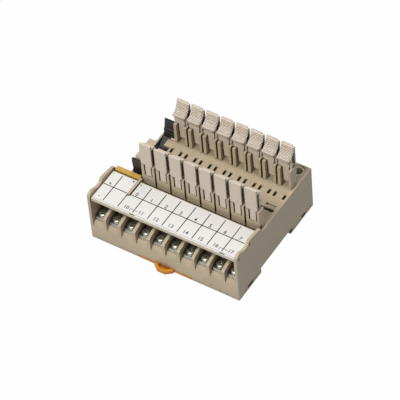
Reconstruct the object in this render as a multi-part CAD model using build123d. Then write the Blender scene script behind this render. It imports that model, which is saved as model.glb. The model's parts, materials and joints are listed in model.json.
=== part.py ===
from build123d import *
import math
import os

# Relay socket base, eight positions, for a 35 mm rail. Millimetres, +Z up.
# Drawn from the front left bottom corner: X to the right, Y to the rear.
# At export it is moved so that the origin is the middle of the rail slot.

# Along the rail
PITCH = 10.16             # step of the terminals and of the relay positions
POSITIONS = 8
COLUMNS = POSITIONS + 2   # terminal columns
END_SPARE = 0.4
WIDTH = COLUMNS * PITCH + END_SPARE
WALL = 1.8                # end, front and rear walls
BARRIER_T = 2.0           # walls between the terminals
BARRIER_SHIFT = 0.2       # the middle barrier stands this far right of the middle
CAGE_INSET = 0.32         # how far the last lever cage runs into the end wall

# From front to rear
LOWER_DEPTH = 11.5        # lower terminal tier
UPPER_DEPTH = 16.8        # upper terminal tier
FRONT_CAGE = 5.3          # posts of the front levers
RELAY_ROOM = 29.9         # from the front posts to the rear posts
REAR_CAGE = 6.7           # posts of the rear levers
REAR_DECK = 13.7          # deck behind the rear posts
DECK_FRONT = LOWER_DEPTH + UPPER_DEPTH
FRONT_Y0 = DECK_FRONT + 0.1
FRONT_Y1 = FRONT_Y0 + FRONT_CAGE
REAR_Y0 = FRONT_Y1 + RELAY_ROOM
REAR_Y1 = REAR_Y0 + REAR_CAGE
DEPTH = REAR_Y1 + REAR_DECK

# Rail slot in the underside
RAIL_FRONT = 24.5
RAIL_WIDTH = 35.4
RAIL_REAR = RAIL_FRONT + RAIL_WIDTH
RAIL_DEPTH = 3.9
TOOTH = 1.9               # fixed tooth under the rail's rear edge
TOOTH_H = 1.0

# Heights
DECK = 32.2               # top of the relay deck
DECK_T = 2.0              # deck and terminal floors
CONTACT_ROOM = 3.0        # from the board up to the deck
BOARD_T = 1.6
BOARD_TOP = DECK - DECK_T - CONTACT_ROOM
BOARD_Z = BOARD_TOP - BOARD_T
UPPER_FLOOR = BOARD_TOP   # the upper terminals stand level with the board
TIER_STEP = 13.2          # from the lower to the upper terminals
LOWER_FLOOR = UPPER_FLOOR - TIER_STEP
BAND = LOWER_FLOOR - 3.5  # plain front band below the terminals
BASE_T = 2.0              # bottom cover

# Terminals
SHANK_R = 1.7             # M3.5
SHANK_GAP = 0.15
HEAD_R = 3.0
HEAD_H = 2.2
HEAD_SIDES = 8
SPRING_R = 2.75
PLATE_T = 1.0
LOWER_PLATE = 3.5         # from a lower screw to its plate's front edge
UPPER_PLATE = 4.5         # from an upper screw to its plate's front and rear edge
CLAMP_T = 0.9
SPRING_T = 0.7
TAIL_W = 2.4
TAIL_T = 0.8
LOWER_SCREW_Y = LOWER_DEPTH - 5.3
UPPER_SCREW_Y = LOWER_DEPTH + 8.0
BARRIER_MID = WIDTH / 2 + BARRIER_SHIFT
LAST_COLUMN = WIDTH - WALL - BARRIER_MID - PITCH * (COLUMNS - 2) / 2 - BARRIER_T / 2
PLATE_W = LAST_COLUMN - 2 * 0.23

# Lever cages and levers
UNIT_X = WIDTH - POSITIONS * PITCH - CAGE_INSET
POST_LEFT = 1.9
POST_RIGHT = 1.5
CAGE_SPACE = 1.26         # free space between two cages
CAGE_ROOM = PITCH - CAGE_SPACE - POST_LEFT - POST_RIGHT
CAGE_W = POST_LEFT + CAGE_ROOM + POST_RIGHT
STEM_GAP = 0.8            # beside a lever's stem
CAGE_H = 15.0
CAGE_TOP = DECK + CAGE_H
BRIDGE_H = 6.3
PIN_R = 1.0
PIN_GAP = 0.05
PIN_DEPTH = 1.0           # how far a lever's pins go into the posts
PIN_SIDES = 6
FRONT_PIVOT = (FRONT_Y0 + 2.75, DECK + 3.2)
REAR_PIVOT = (REAR_Y0 + 3.8, DECK + 4.4)
HEAD_W = CAGE_W - 1.2     # front lever
LEVER_TOP = DECK + 32.4
FLANGE_DROP = 4.1         # its back flange ends this far below the top
PAD_W = CAGE_W - 1.8      # rear lever
PAD_TOP = DECK + 31.0
PAD_RISE = 7.6            # height of the curved pad
RIBS = 10                 # steps of the pad's ribbed face

# Terminal cover
COVER_PIVOT = (2.9, DECK + 1.55)
COVER_PIN_R = 0.75
COVER_Z = DECK + 0.9
COVER_T = 1.3
COVER_GAP = 0.3
COVER_REAR = DECK_FRONT - 2.9
LABEL_T = 0.25

# Connector bay at the left end
BAY_RIGHT = UNIT_X - 0.2
BAY_WALL = 1.0            # wall between the bay and the relay deck
BAY_FRONT = DECK_FRONT + 1.6
BAY_TOP = 10.0
SEAT_TOP = DECK - 8.2     # plate round the connector
SEAT_T = 2.0
LOW_BOARD_Z = SEAT_TOP - SEAT_T - BOARD_T
SEAT_X0 = BAY_RIGHT - 14.6
GUIDE_X1 = BAY_RIGHT - 9.0
GUIDE_X0 = GUIDE_X1 - 1.2
BLOCK_X0 = BAY_RIGHT - 4.4
CONNECTOR_Y = (FRONT_Y1 + REAR_Y0) / 2 + 1.05
HEADER_X0 = GUIDE_X1 + 0.4
HEADER_W = 8.0
HEADER_L = 15.0
HEADER_WALL = 1.1
HEADER_TOP = SEAT_TOP + 7.0
PIN_STEP = 2.54           # step of the connector's pins
PIN_HALF = 0.32           # half the thickness of a pin
LOCK_REACH = 9.5          # from the connector's middle to a lock lever's pin
LOCK_Z = SEAT_TOP + 2.0
FIN_X = BAY_RIGHT - 0.6   # upright fin on the second barrier
FIN_T = 1.2

# Panel screws and rail latch
SCREW_R = 2.2
SCREW_SIDE = 5.9
SCREW_REAR = 5.1
RIGHT_HOLE = (WIDTH - SCREW_SIDE, DEPTH - SCREW_REAR)
LEFT_HOLE = (SCREW_SIDE, DEPTH - SCREW_REAR)
LATCH_W = 37.0
LATCH_T = 1.6
LATCH_REACH = 1.7         # hook below the rail's front edge
LATCH_X0 = (WIDTH - LATCH_W) / 2
LATCH_X1 = LATCH_X0 + LATCH_W
SNAP_FRONT = (9.6, 15.2)
SNAP_REAR = (DEPTH - 13.4, DEPTH - 9.5)

os.makedirs("parts", exist_ok=True)


def block(x0, x1, y0, y1, z0, z1):
    """Box between two corners."""
    centre = ((x0 + x1) / 2, (y0 + y1) / 2, (z0 + z1) / 2)
    return Pos(*centre) * Box(x1 - x0, y1 - y0, z1 - z0)


def along_x(face, x0, x1):
    """Side profile drawn in (y, z), pulled out from x0 to x1."""
    return extrude(Plane.YZ.offset(x0) * face, amount=x1 - x0, dir=(1, 0, 0))


def prism(points, x0, x1):
    """Straight-sided side profile given as (y, z) points."""
    return along_x(make_face(Polyline(*points, close=True)), x0, x1)


def rounded_prism(corners, x0, x1):
    """Side profile given as (y, z, r) corners, each rounded with its own r."""
    spots = [(y, z) for y, z, r in corners]
    radii = [r for y, z, r in corners]
    return along_x(make_face(FilletPolyline(*spots, radius=radii, close=True)), x0, x1)


def plate(points, z0, z1):
    """Plan outline given as (x, y) points, drawn up from z0 to z1."""
    face = make_face(Polyline(*points, close=True))
    return extrude(Pos(0, 0, z0) * face, amount=z1 - z0, dir=(0, 0, 1))


def post(x, y, r, z0, z1):
    """Upright cylinder."""
    return Pos(x, y, (z0 + z1) / 2) * Cylinder(r, z1 - z0)


def rod(y, z, r, x0, x1):
    """Cylinder along X."""
    return Pos((x0 + x1) / 2, y, z) * Rot(0, 90, 0) * Cylinder(r, x1 - x0)


def sided_post(x, y, r, z0, z1, sides):
    """Upright bar with flat sides."""
    return extrude(Pos(x, y, z0) * RegularPolygon(r, sides), amount=z1 - z0, dir=(0, 0, 1))


def sided_rod(y, z, r, x0, x1, sides):
    """Bar with flat sides along X."""
    return along_x(Pos(y, z) * RegularPolygon(r, sides, rotation=180 / sides), x0, x1)


def pin(pivot, x0, x1):
    """Pin of a terminal lever."""
    return sided_rod(*pivot, PIN_R, x0, x1, PIN_SIDES)


def pin_hole(pivot, x0, x1):
    """Hole that a lever's pin turns in."""
    r = (PIN_R + PIN_GAP) / math.cos(math.pi / PIN_SIDES)
    return sided_rod(*pivot, r, x0, x1, PIN_SIDES)


def curve(p0, p1, p2, n, back=0.0):
    """Points on a bent line through three guide points, set back to its right by back."""
    out = []
    for i in range(n + 1):
        t = i / n
        y = (1 - t) ** 2 * p0[0] + 2 * t * (1 - t) * p1[0] + t * t * p2[0]
        z = (1 - t) ** 2 * p0[1] + 2 * t * (1 - t) * p1[1] + t * t * p2[1]
        dy = (1 - t) * (p1[0] - p0[0]) + t * (p2[0] - p1[0])
        dz = (1 - t) * (p1[1] - p0[1]) + t * (p2[1] - p1[1])
        size = math.hypot(dy, dz)
        out.append((y + back * dz / size, z - back * dy / size))
    return out


def footed(points, pivot, r, x0, x1):
    """Lever stem: (y, z) points from rear to front, closed by a round foot about the pivot."""
    y, z = pivot
    half = math.radians(30)
    a = r * math.sin(half)
    b = r * math.cos(half)
    t = r * math.tan(half)
    sides = Polyline((y + a, z - b), (y + r, z - t), *points, (y - r, z - t), (y - a, z - b))
    foot = ThreePointArc((y - a, z - b), (y, z - r), (y + a, z - b))
    return along_x(make_face(sides.edges() + foot.edges()), x0, x1)


def unit_left(k):
    """Left face of lever cage k."""
    return UNIT_X + PITCH * k


def relay_mid(k):
    """Middle of relay position k."""
    return unit_left(k) + 4.3


def stem_span(k):
    """Left and right face of the stem of the levers at position k."""
    x = unit_left(k) + POST_LEFT + STEM_GAP
    return x, x + CAGE_ROOM - 2 * STEM_GAP


def barrier_mid(k):
    """Middle of barrier k."""
    return BARRIER_MID + PITCH * (k - (COLUMNS - 2) / 2)


def column_mid(j):
    """Middle of terminal column j, between its two side faces."""
    left = WALL if j == 0 else barrier_mid(j - 1) + BARRIER_T / 2
    right = WIDTH - WALL if j == COLUMNS - 1 else barrier_mid(j) - BARRIER_T / 2
    return (left + right) / 2


def save(name, shape):
    """Write one node, moved so that the rail slot is at the origin."""
    moved = Pos(-WIDTH / 2, -(RAIL_FRONT + RAIL_REAR) / 2, 0) * shape
    moved.label = name
    export_step(moved, "parts/" + name + ".step")
    print(name, len(moved.solids()), "solids", round(moved.volume, 1), "mm3")


def end_wall(x0, x1, back):
    """One end wall with its two-humped ear; back holds the (y, z, r) corners behind the ear."""
    rise = LOWER_DEPTH + 1.1
    ear = [
        (0.0, 0.0, 0.0), (0.0, DECK + 5.7, 3.0), (COVER_PIVOT[0] + 1.1, DECK + 5.7, 3.0),
        (rise - 4.3, DECK + 3.7, 3.0), (rise, DECK + 3.9, 1.0), (rise + 1.6, DECK + 6.3, 1.0),
        (DECK_FRONT - 1.3, DECK + 4.1, 1.5), (DECK_FRONT - 0.1, DECK, 0.0),
    ]
    return rounded_prism(ear + back + [(DEPTH, 0.0, 0.0)], x0, x1)


def tier_floor_line(drop, front, riser):
    """The stepped line of the two terminal tiers, for the outside and for the hollow below it."""
    return [
        (front, BAND - 0.45 * drop), (front + 2.4 - drop / 2, LOWER_FLOOR - drop), (riser, LOWER_FLOOR - drop),
        (riser, UPPER_FLOOR - drop),
    ]


def housing_shell():
    """Outer shape of the moulding with the hollow under it."""
    outside = tier_floor_line(0.0, 0.0, LOWER_DEPTH)
    tiers = prism([(0.0, 0.0)] + outside + [
        (DECK_FRONT, UPPER_FLOOR), (DECK_FRONT, DECK), (BAY_FRONT, DECK), (BAY_FRONT, 0.0),
    ], WALL / 2, WIDTH - WALL / 2)
    body = tiers + block(BAY_RIGHT, WIDTH - WALL / 2, BAY_FRONT - 0.2, DEPTH, 0, DECK)
    body = body + block(WALL / 2, BAY_RIGHT + 0.2, BAY_FRONT - 0.2, DEPTH, 0, BAY_TOP)
    inside = [(WALL, -1.0)] + tier_floor_line(DECK_T, WALL, LOWER_DEPTH + DECK_T)
    step = BAY_FRONT - 0.1
    deck_room = prism(inside + [
        (step, UPPER_FLOOR - DECK_T), (step, DECK - DECK_T), (DEPTH - WALL, DECK - DECK_T), (DEPTH - WALL, -1.0),
    ], BAY_RIGHT + BAY_WALL, WIDTH - WALL)
    bay_room = prism(inside + [
        (DECK_FRONT, UPPER_FLOOR - DECK_T), (DECK_FRONT, BAY_TOP - DECK_T), (DEPTH - WALL, BAY_TOP - DECK_T),
        (DEPTH - WALL, -1.0),
    ], WALL, BAY_RIGHT + BAY_WALL + 0.1)
    return body - deck_room - bay_room


def marker_shelf():
    """Shelf under the marker strip and the fin that stands on the second barrier."""
    shelf = block(WALL - 0.2, FIN_X + FIN_T, DECK_FRONT - 2.5, BAY_FRONT, DECK - DECK_T, DECK)
    fin = block(FIN_X, FIN_X + FIN_T, LOWER_DEPTH + 2.1, DECK_FRONT - 0.6, DECK - 0.5, DECK + 2.9)
    return shelf + fin


def connector_seat():
    """Raised plate, guide wall and two blocks round the connector."""
    low = BAY_TOP - 1
    half = 16.5
    y = CONNECTOR_Y
    body = block(SEAT_X0, BAY_RIGHT + 0.2, y - half, y + half, low, SEAT_TOP)
    body = body + block(SEAT_X0, GUIDE_X1, y - 6.7, y + 9.3, low, DECK)
    body = body + block(GUIDE_X0, GUIDE_X1, y - half, y + half, low, DECK)
    body = body + block(BLOCK_X0, BAY_RIGHT + 0.2, y + LOCK_REACH - 0.8, y + LOCK_REACH + 4.9, low, DECK)
    body = body + block(BLOCK_X0, BAY_RIGHT + 0.2, y - LOCK_REACH - 5.3, y - LOCK_REACH + 0.6, low, DECK)
    return body


def connector_seat_cuts():
    """Room for the small board, the connector and the lock levers' feet."""
    y = CONNECTOR_Y
    cuts = [
        block(SEAT_X0 + 1.6, BAY_RIGHT, y - 14.9, y + 14.9, BAY_TOP - DECK_T - 1, LOW_BOARD_Z + BOARD_T),
        block(SEAT_X0 + 1.6, GUIDE_X1 - 1.4, y - 5.1, y + 7.7, SEAT_TOP - 3, DECK - DECK_T),
        block(HEADER_X0 - 0.2, HEADER_X0 + HEADER_W + 0.2, y - HEADER_L / 2 - 0.9, y + HEADER_L / 2 + 0.9,
              LOW_BOARD_Z, SEAT_TOP + 1),
    ]
    for pivot_y in (y - LOCK_REACH, y + LOCK_REACH):
        cuts.append(pin_hole((pivot_y, LOCK_Z), GUIDE_X1 - 0.7, BLOCK_X0 + 0.7))
        cuts.append(block(GUIDE_X1, BLOCK_X0, pivot_y - 3.0, pivot_y + 3.0, SEAT_TOP - 1.5, SEAT_TOP + 0.1))
    return cuts


def barrier(k):
    """Wall between two terminal columns, low in front and high over the upper tier."""
    lower = LOWER_FLOOR - 0.5
    upper = UPPER_FLOOR - 0.5
    top = LOWER_FLOOR + 7.0
    end = DECK_FRONT - 3.1
    line = [
        (0.0, BAND - 0.5), (0.0, top - 1.1), (1.1, top), (LOWER_DEPTH - 3.3, top + 1.7),
        (LOWER_DEPTH - 1.3, top + 2.8), (LOWER_DEPTH + 0.1, DECK - 6.0), (LOWER_DEPTH + 1.1, DECK - 1.0),
        (LOWER_DEPTH + 2.1, DECK), (end, DECK), (end, upper), (LOWER_DEPTH + 0.5, upper),
        (LOWER_DEPTH + 0.5, lower), (2.6, lower), (0.4, BAND - 0.5),
    ]
    x = barrier_mid(k)
    return prism(line, x - BARRIER_T / 2, x + BARRIER_T / 2)


def front_cage(k):
    """Two posts and a low bridge that hold a front lever."""
    x = unit_left(k)
    low = DECK - 0.3
    right_x = x + POST_LEFT + CAGE_ROOM
    left = block(x, x + POST_LEFT, FRONT_Y0, FRONT_Y1, low, CAGE_TOP)
    right = block(right_x, right_x + POST_RIGHT, FRONT_Y0, FRONT_Y1, low, CAGE_TOP)
    bridge = block(x + 1.0, right_x + 0.5, FRONT_Y0, FRONT_Y0 + 1.15, low, DECK + BRIDGE_H)
    holes = pin_hole(FRONT_PIVOT, x + POST_LEFT - PIN_DEPTH - 0.1, right_x + PIN_DEPTH + 0.1)
    return left + right + bridge - holes


def rear_cage(k):
    """Left post with a low step behind and right post of full depth, for a rear lever."""
    x = unit_left(k)
    low = DECK - 0.3
    top = CAGE_TOP + 0.4
    step = REAR_PIVOT[1] + 3.4
    right_x = x + POST_LEFT + CAGE_ROOM
    left = prism([
        (REAR_Y0, low), (REAR_Y0, top), (REAR_Y0 + 2.6, top), (REAR_Y0 + 2.6, step), (REAR_Y1, step - 1.6),
        (REAR_Y1, low),
    ], x, x + POST_LEFT)
    right = block(right_x, right_x + POST_RIGHT, REAR_Y0, REAR_Y1, low, top)
    holes = pin_hole(REAR_PIVOT, x + POST_LEFT - PIN_DEPTH - 0.1, right_x + PIN_DEPTH + 0.1)
    return left + right - holes


def relay_slots(k):
    """Slots for the blades of a relay and the shallow marks round them."""
    x = relay_mid(k)
    blades = REAR_Y0 - 6.7
    cross = FRONT_Y1 + 10.85
    floor = DECK - DECK_T - 0.1
    top = DECK + 0.1
    cuts = [block(x + dx - 0.85, x + dx + 0.85, blades - 1.9, blades + 1.9, floor, top) for dx in (-2.45, 3.8)]
    cuts.append(block(x - 5.2, x + 3.8, cross - 1.05, cross + 1.05, floor, top))
    cuts.append(block(x - 1.8, x + 3.4, cross + 2.9, cross + 4.3, DECK - 0.6, top))
    cuts.append(block(x - 3.2, x - 1.8, cross + 2.9, cross + 4.3, DECK - 1.4, top))
    return cuts


def terminal_cuts(j):
    """Slots for the tails of the two plates of column j."""
    x = column_mid(j)
    x0 = x - TAIL_W / 2 - 0.1
    x1 = x + TAIL_W / 2 + 0.1
    high = PLATE_T + 0.1
    cuts = [block(x0, x1, LOWER_DEPTH - 0.2, LOWER_DEPTH + DECK_T + 0.2, LOWER_FLOOR, LOWER_FLOOR + high)]
    if x > BAY_RIGHT:
        cuts.append(block(x0, x1, DECK_FRONT - 0.2, BAY_FRONT + 0.1, UPPER_FLOOR, UPPER_FLOOR + high))
    return cuts


def peg_places():
    """Pegs of the marker strip."""
    return [WALL + 3.2, BAY_RIGHT - 3.2]


def rail_slot():
    """Room for the rail, with the fixed tooth at its rear edge."""
    return prism([
        (RAIL_FRONT, -1.0), (RAIL_FRONT, RAIL_DEPTH), (RAIL_REAR, RAIL_DEPTH), (RAIL_REAR, TOOTH_H + 0.4),
        (RAIL_REAR - TOOTH, TOOTH_H), (RAIL_REAR - TOOTH, -1.0),
    ], -1.0, WIDTH + 1.0)


def housing():
    """The main moulding."""
    body = housing_shell() + connector_seat() + marker_shelf()
    body = body + end_wall(WIDTH - WALL, WIDTH, [(DEPTH, DECK, 0.0)])
    body = body + end_wall(0.0, WALL, [(BAY_FRONT, DECK, 0.0), (BAY_FRONT, BAY_TOP, 0.0), (DEPTH, BAY_TOP, 0.0)])
    body = body + [barrier(k) for k in range(COLUMNS - 1)]
    body = body + [front_cage(k) for k in range(POSITIONS)]
    body = body + [rear_cage(k) for k in range(POSITIONS)]
    body = body + sided_post(*RIGHT_HOLE, 4.6, BOARD_TOP, DECK - 1.0, 8)
    cuts = connector_seat_cuts()
    for k in range(POSITIONS):
        cuts = cuts + relay_slots(k)
    for j in range(COLUMNS):
        cuts = cuts + terminal_cuts(j)
    # recess with an inner tube over the right panel screw, plain hole for the left one
    cuts.append(post(*RIGHT_HOLE, 4.1, DECK - 1.4, DECK + 1) - post(*RIGHT_HOLE, 3.25, DECK - 2, DECK - 0.4))
    cuts.append(post(*RIGHT_HOLE, SCREW_R + 0.65, BOARD_Z, DECK + 1))
    cuts.append(post(*LEFT_HOLE, SCREW_R, BAY_TOP - DECK_T - 1, BAY_TOP + 1))
    cuts.append(rail_slot())
    # way out for the latch under the front wall
    cuts.append(block(LATCH_X0 - 0.2, LATCH_X1 + 0.2, -1, WALL + 0.1, -1, 0.2 + LATCH_T + 0.2))
    for x0, x1 in ((-1, WALL + 0.1), (WIDTH - WALL - 0.1, WIDTH + 1)):
        for y0, y1 in (SNAP_FRONT, SNAP_REAR):
            cuts.append(block(x0, x1, y0, y1, 1.3, 3.3))
    # hinge holes of the cover and the blind mark behind each
    mark = (LOWER_DEPTH + 3.1, DECK + 3.0)
    cuts.append(rod(*COVER_PIVOT, COVER_PIN_R + PIN_GAP, -1, WALL + 0.1))
    cuts.append(rod(*COVER_PIVOT, COVER_PIN_R + PIN_GAP, WIDTH - WALL - 0.1, WIDTH + 1))
    cuts.append(sided_rod(*mark, 0.8, -1, WALL / 2, 10))
    cuts.append(sided_rod(*mark, 0.8, WIDTH - WALL / 2, WIDTH + 1, 10))
    for x in peg_places():
        cuts.append(block(x - 0.7, x + 0.7, DECK_FRONT - 0.8, DECK_FRONT + 0.6, DECK - DECK_T - 0.1, DECK + 0.1))
    return body - cuts


def base_plate():
    """Bottom cover with the rail channel, the fixed tooth and the posts under the boards."""
    x0 = WALL + 0.1
    x1 = WIDTH - WALL - 0.1
    front = x0
    rear = DEPTH - WALL - 0.1
    roof = RAIL_DEPTH + BASE_T
    body = prism([
        (front, 0.0), (front, BASE_T), (RAIL_FRONT - 2.0, BASE_T), (RAIL_FRONT - 2.0, roof), (RAIL_REAR + 2.0, roof),
        (RAIL_REAR + 2.0, BASE_T), (rear, BASE_T), (rear, 0.0), (RAIL_REAR - TOOTH, 0.0), (RAIL_REAR - TOOTH, TOOTH_H),
        (RAIL_REAR, TOOTH_H + 0.4), (RAIL_REAR, RAIL_DEPTH), (RAIL_FRONT, RAIL_DEPTH), (RAIL_FRONT, 0.0),
    ], x0, x1)
    # channel of the latch, with a bridge over it and two lips under its edges
    low = 0.2 + LATCH_T + 0.2
    body = body - block(LATCH_X0 - 0.2, LATCH_X1 + 0.2, 0, RAIL_FRONT + 0.1, -1, low + 0.9)
    body = body + block(LATCH_X0 - 2.2, LATCH_X1 + 2.2, front, RAIL_FRONT - 6.9, low, low + 1.6)
    body = body + block(LATCH_X0 - 2.2, LATCH_X1 + 2.2, RAIL_FRONT - 6.9, RAIL_FRONT - 1.0, low + 0.9, low + 2.5)
    for x in (LATCH_X0 - 0.4, LATCH_X1 - 2.0):
        body = body + block(x, x + 2.4, front, RAIL_FRONT - 4.5, 0, 0.8)
    # snap lugs in the windows of the end walls
    for y0, y1 in (SNAP_FRONT, SNAP_REAR):
        for wall_x, side in ((x0, -1), (x1, 1)):
            outer = wall_x + side * (WALL - 0.8)
            inner = wall_x - side * 1.5
            body = body + block(min(outer, inner), max(outer, inner), y0 + 0.3, y1 - 0.3, 1.5, 2.9)
            body = body + block(min(wall_x, inner), max(wall_x, inner), y0 + 0.3, y1 - 0.3, 1.0, 3.6)
    body = body + sided_post(*RIGHT_HOLE, 3.4, 0.5, BOARD_Z, 8)
    body = body + sided_post(*LEFT_HOLE, 3.4, 0.5, BAY_TOP - DECK_T, 8)
    middle_x = WIDTH / 2 + 10
    for x, y, z in (
        (BAY_RIGHT + 5.8, DEPTH - 6, 1.0), (middle_x, DEPTH - 6, 1.0), (BAY_RIGHT + 5.8, RAIL_FRONT + 11.5, roof - 1),
        (middle_x, RAIL_FRONT + 11.5, roof - 1), (WIDTH - 6, RAIL_FRONT + 11.5, roof - 1),
    ):
        body = body + block(x - 1.8, x + 1.8, y - 1.8, y + 1.8, z, BOARD_Z)
    for y in (CONNECTOR_Y - 12.2, CONNECTOR_Y + 8.3):
        body = body + block(BAY_RIGHT - 8.5, BAY_RIGHT - 4.9, y - 1.8, y + 1.8, roof - 1, LOW_BOARD_Z)
    body = body - post(*RIGHT_HOLE, SCREW_R, -1, BOARD_Z + 1)
    return body - post(*LEFT_HOLE, SCREW_R, -1, BAY_TOP)


def rail_latch():
    """Sliding latch: flat plate, raised hook at the rear, six-sided hollow pull tab in front."""
    z0 = 0.2
    z1 = z0 + LATCH_T
    hook = RAIL_FRONT + LATCH_REACH
    middle = WIDTH / 2
    body = block(LATCH_X0, LATCH_X1, -0.2, WALL, z0, z1)
    body = body + block(LATCH_X0, LATCH_X1, WALL - 0.1, RAIL_FRONT - 0.5, 1.0, z1)
    body = body + block(LATCH_X0 + 2.3, LATCH_X1 - 2.3, WALL - 0.1, RAIL_FRONT - 0.5, z0, z1)
    body = body + prism([
        (RAIL_FRONT - 3.5, z0), (RAIL_FRONT - 3.5, z1 + 0.8), (hook - 1.0, z1 + 0.8), (hook, z1 - 0.2), (hook, z0),
    ], LATCH_X0 + 2.3, LATCH_X1 - 2.3)
    tab = [(-6.5, -0.1), (-6.5, -1.4), (-2.6, -4.4), (2.6, -4.4), (6.5, -1.4), (6.5, -0.1)]
    hole = [(-4.0, -0.3), (-4.0, -1.0), (-1.8, -2.8), (1.8, -2.8), (4.0, -1.0), (4.0, -0.3)]
    body = body + plate([(middle + x, y) for x, y in tab], z0, z1 + 0.8)
    return body - plate([(middle + x, y) for x, y in hole], 0.0, z1 + 1.5)


def cover_slots(z0, z1, side):
    """Slot for the fin and two narrow slots at the front edge."""
    cuts = [block(FIN_X - 0.4 - side, FIN_X + FIN_T + 0.7 + side, LOWER_DEPTH + 1.8 - side, DECK_FRONT, z0, z1)]
    for x in (WIDTH - 73.5, WIDTH - 12.3):
        cuts.append(block(x, x + 3.3, 1.3, 1.75, z1 - 1.2, z1))
    return cuts


def terminal_cover():
    """Hinged plate over the terminals, with its two pins."""
    x0 = WALL + COVER_GAP
    x1 = WIDTH - WALL - COVER_GAP
    top = COVER_Z + COVER_T
    body = block(x0, x1, 0.8, COVER_REAR, COVER_Z, top) + block(x0, x1, 0.8, 1.6, COVER_Z - 0.6, top)
    body = body - cover_slots(COVER_Z - 1, top + 0.1, 0.0)
    pins = sided_rod(*COVER_PIVOT, COVER_PIN_R, WALL - 0.6, x0 + 0.2, 12)
    pins = pins + sided_rod(*COVER_PIVOT, COVER_PIN_R, x1 - 0.2, WIDTH - WALL + 0.6, 12)
    return body + pins


def label_sheet():
    """Thin white card on the cover."""
    top = COVER_Z + COVER_T
    body = block(WALL + 0.6, WIDTH - WALL - 0.6, 1.2, COVER_REAR - 0.7, top, top + LABEL_T)
    return body - cover_slots(top - 1, top + 1.5, 0.1)


def marker_strip():
    """Amber strip behind the first two columns, on two pegs."""
    body = block(WALL + 0.6, FIN_X - 0.15, DECK_FRONT - 2.3, DECK_FRONT + 1.0, DECK, DECK + 3.1)
    for x in peg_places():
        body = body + block(x - 0.6, x + 0.6, DECK_FRONT - 0.7, DECK_FRONT + 0.5, DECK - DECK_T, DECK + 0.2)
    return body


def terminal_plates(y0, y1, y_hole, z, tail):
    """Ten plates, each tapped for its screw."""
    out = []
    for j in range(COLUMNS):
        x = column_mid(j)
        body = block(x - PLATE_W / 2, x + PLATE_W / 2, y0, y1, z, z + PLATE_T) + tail(x)
        out.append(body - sided_post(x, y_hole, SHANK_R + 0.05, z - 1, z + PLATE_T + 1, 6))
    return out


def lower_tail(x):
    """Strip that rises behind the riser and runs back to the board."""
    x0 = x - TAIL_W / 2
    x1 = x + TAIL_W / 2
    rise = LOWER_DEPTH + DECK_T + 0.3
    run = BOARD_Z - 1.6
    body = block(x0, x1, LOWER_DEPTH - 0.5, rise + TAIL_T, LOWER_FLOOR, LOWER_FLOOR + PLATE_T)
    body = body + block(x0, x1, rise, rise + TAIL_T, LOWER_FLOOR, run)
    if x < BAY_RIGHT:
        return body + block(x0, x1, rise, DECK_FRONT - 2, run - TAIL_T, run)
    end = BAY_FRONT + 1.3
    body = body + block(x0, x1, rise, end, run - TAIL_T, run)
    return body + block(x0, x1, end - TAIL_T, end, run - TAIL_T, BOARD_Z)


def upper_tail(x):
    """Strip that runs back on to the board."""
    end = DECK_FRONT - 0.6 if x < BAY_RIGHT else BAY_FRONT + 2.1
    start = UPPER_SCREW_Y + UPPER_PLATE - 0.5
    return block(x - TAIL_W / 2, x + TAIL_W / 2, start, end, UPPER_FLOOR, UPPER_FLOOR + PLATE_T)


def clamp_washers(y, z):
    """Ten square washers with a turned-up front edge."""
    out = []
    half = PLATE_W / 2 - 0.15
    for j in range(COLUMNS):
        x = column_mid(j)
        body = block(x - half, x + half, y - half, y + half, z, z + CLAMP_T)
        body = body + block(x - half, x + half, y - half, y - half + 0.6, z, z + CLAMP_T + 0.6)
        out.append(body - sided_post(x, y, SHANK_R + SHANK_GAP, z - 1, z + CLAMP_T + 1, 6))
    return out


def screws(y, floor):
    """Ten terminal screws, each with the captive spring washer under its head."""
    out = []
    clamp_top = floor + PLATE_T + CLAMP_T
    under = clamp_top + SPRING_T
    for j in range(COLUMNS):
        x = column_mid(j)
        head = sided_post(x, y, HEAD_R, under, under + HEAD_H, HEAD_SIDES)
        head = head + sided_post(x, y, SPRING_R, clamp_top, under + 0.1, 6)
        out.append(head + sided_post(x, y, SHANK_R, floor, clamp_top + 0.1, 6))
    return out


def front_lever(k):
    """Upright lever: thin front plate, web, back flange with a sloping catch, stem between the posts."""
    x = unit_left(k)
    x1 = x + HEAD_W
    y = FRONT_Y0 + 0.1
    low = CAGE_TOP + 0.4
    flange = LEVER_TOP - FLANGE_DROP
    middle = (x + x1) / 2
    head = block(x, x1, y, y + 1.1, low, LEVER_TOP) + block(x, x1, y + 2.8, y + 3.9, low, flange)
    head = head + block(middle - 0.7, middle + 0.7, y + 1.0, y + 2.9, low, flange)
    catch = prism([
        (y + 1.0, flange + 1.4), (y + 4.9, flange + 0.4), (y + 5.1, flange - 0.2), (y + 3.9, flange - 0.4),
        (y + 1.0, flange + 0.2),
    ], x, x1)
    floor = block(x, x1, y, y + 3.9, low, low + 1.0)
    bridge = DECK + BRIDGE_H
    stem_y = FRONT_PIVOT[0] - 1.2
    stem = footed([
        (FRONT_PIVOT[0] + 1.2, low + 0.5), (y + 0.1, low + 0.5), (y + 0.1, bridge + 0.35), (stem_y, bridge + 0.35),
    ], FRONT_PIVOT, 1.2, *stem_span(k))
    right_x = x + POST_LEFT + CAGE_ROOM
    return head + catch + floor + stem + pin(FRONT_PIVOT, x + POST_LEFT - PIN_DEPTH, right_x + PIN_DEPTH)


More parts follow.
